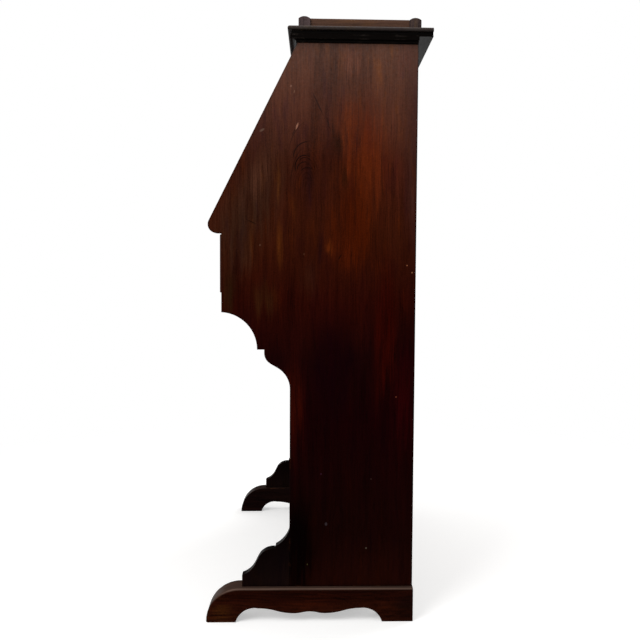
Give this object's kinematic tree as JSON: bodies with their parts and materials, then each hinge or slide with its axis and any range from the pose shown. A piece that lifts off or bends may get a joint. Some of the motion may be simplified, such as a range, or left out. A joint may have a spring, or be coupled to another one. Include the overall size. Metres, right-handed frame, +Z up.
{
  "type": "writing bureau",
  "caption": "Tall narrow writing bureau with a sloping fall front, a long drawer, open shelves and shaped sled feet.",
  "frame": {"origin": "on the floor under the middle of the overall box", "axes": "+X to the right of a person who faces its front, +Y to its back, +Z up"},
  "size_m": [0.771, 0.4244, 1.1498],
  "materials": {
    "side_mahogany": "french polished mahogany",
    "foot_mahogany": "french polished mahogany",
    "trim_mahogany": "french polished mahogany",
    "top_mahogany": "french polished mahogany",
    "show_mahogany": "french polished mahogany",
    "drawer_mahogany": "french polished mahogany",
    "fall_mahogany": "french polished mahogany",
    "shelf_mahogany": "french polished mahogany",
    "nest_mahogany": "waxed mahogany",
    "lining_wood": "plain sawn, unpolished",
    "back_wood": "stained, unpolished",
    "brass": "aged, hand polished",
    "steel": "worn bright steel",
    "leather": "gold tooled writing leather"
  },
  "bodies": {
    "carcase": {"back_boards": "back_wood", "bed_moulding": "trim_mahogany", "drawer_divider_left": "show_mahogany", "drawer_divider_right": "show_mahogany", "drawer_rail": "show_mahogany", "drawer_runner_left": "lining_wood", "drawer_runner_right": "lining_wood", "dust_board": "lining_wood", "foot_bracket_left": "foot_mahogany", "foot_bracket_right": "foot_mahogany", "foot_left": "foot_mahogany", "foot_right": "foot_mahogany", "gallery_posts": "trim_mahogany", "gallery_rail_back": "trim_mahogany", "gallery_rail_left": "trim_mahogany", "gallery_rail_right": "trim_mahogany", "hinge_board_leaves": "brass", "hinge_board_screws": "brass", "lock_keep": "brass", "nest_divider_left": "nest_mahogany", "nest_divider_right": "nest_mahogany", "nest_end_left": "nest_mahogany", "nest_end_right": "nest_mahogany", "nest_partitions": "nest_mahogany", "nest_shelves": "nest_mahogany", "nest_top": "nest_mahogany", "plinth_rail": "shelf_mahogany", "shelf_lower": "shelf_mahogany", "shelf_upper": "shelf_mahogany", "side_left": "side_mahogany", "side_right": "side_mahogany", "top_board": "top_mahogany", "top_rail": "show_mahogany", "writing_board": "show_mahogany"},
    "fall": {"fall_panel": "fall_mahogany", "fall_cleat_right": "fall_mahogany", "fall_cleat_left": "fall_mahogany", "writing_leather": "leather", "hinge_fall_leaves": "brass", "hinge_fall_screws": "brass", "lock_case": "brass", "escutcheon": "brass"},
    "lock_bolt": {"lock_bolt": "brass"},
    "key": {"key": "steel"},
    "loper_right": {"loper_right": "show_mahogany"},
    "loper_left": {"loper_left": "show_mahogany"},
    "drawer": {"drawer_front": "drawer_mahogany", "drawer_side_right": "lining_wood", "drawer_side_left": "lining_wood", "drawer_back": "lining_wood", "drawer_bottom": "lining_wood", "handle_posts": "brass"},
    "bail_right": {"handle_bail_right": "brass"},
    "bail_left": {"handle_bail_left": "brass"},
    "small_drawer_right": {"small_drawer_right_front": "nest_mahogany", "small_drawer_right_tray": "lining_wood", "small_drawer_right_knob": "brass"},
    "small_drawer_left": {"small_drawer_left_front": "nest_mahogany", "small_drawer_left_tray": "lining_wood", "small_drawer_left_knob": "brass"}
  },
  "joints": [
    {"name": "fall_hinge", "type": "hinge", "parent": "carcase", "child": "fall", "pos_m": [0, -0.18615, 0.7662], "axis": [1, 0, 0], "range_deg": [0, 116.65]},
    {"name": "key_turn", "type": "hinge", "parent": "fall", "child": "key", "pos_m": [0, -0.03966, 1.05811], "axis": [0, -0.8938, 0.4485], "range_deg": [0, 180]},
    {"name": "bolt_slide", "type": "slide", "parent": "fall", "child": "lock_bolt", "axis": [0, 0.4485, 0.8938], "range_m": [0, 0.008]},
    {"name": "drawer_slide", "type": "slide", "parent": "carcase", "child": "drawer", "axis": [0, -1, 0], "range_m": [0, 0.24]},
    {"name": "loper_right_slide", "type": "slide", "parent": "carcase", "child": "loper_right", "axis": [0, -1, 0], "range_m": [0, 0.22]},
    {"name": "small_drawer_right_slide", "type": "slide", "parent": "carcase", "child": "small_drawer_right", "axis": [0, -1, 0], "range_m": [0, 0.11]},
    {"name": "bail_right_swing", "type": "hinge", "parent": "drawer", "child": "bail_right", "pos_m": [0.12, -0.20075, 0.70105], "axis": [-1, 0, 0], "range_deg": [0, 80]},
    {"name": "loper_left_slide", "type": "slide", "parent": "carcase", "child": "loper_left", "axis": [0, -1, 0], "range_m": [0, 0.22]},
    {"name": "small_drawer_left_slide", "type": "slide", "parent": "carcase", "child": "small_drawer_left", "axis": [0, -1, 0], "range_m": [0, 0.11]},
    {"name": "bail_left_swing", "type": "hinge", "parent": "drawer", "child": "bail_left", "pos_m": [-0.12, -0.20075, 0.70105], "axis": [-1, 0, 0], "range_deg": [0, 80]}
  ],
  "couplings": [
    {"joint": "bolt_slide", "follows": "key_turn", "m_per_rad": 0.0025465}
  ]
}
